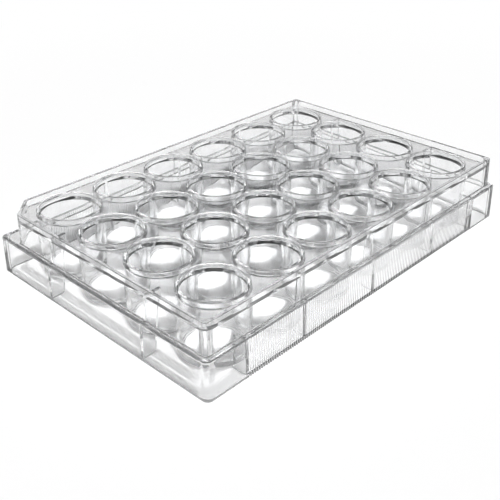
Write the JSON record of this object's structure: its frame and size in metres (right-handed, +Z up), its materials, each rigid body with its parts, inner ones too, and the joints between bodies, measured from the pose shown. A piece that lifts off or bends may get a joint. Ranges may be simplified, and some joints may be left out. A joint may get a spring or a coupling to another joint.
{
  "type": "well plate",
  "caption": "Clear moulded culture plate with a grid of round flat-bottomed wells, a stepped skirt with finger grips and one bevelled corner.",
  "frame": {"origin": "middle of the skirt's lower edge, on the table", "axes": "+Z up, out of the wells; X along the six columns and Y along the four rows, with the bevelled corner at -X and +Y"},
  "size_m": [0.1278, 0.0854, 0.02],
  "materials": {
    "clear_polystyrene": "clear moulded polystyrene, polished all over"
  },
  "bodies": {
    "root": {"well_plate": "clear_polystyrene"}
  },
  "joints": []
}
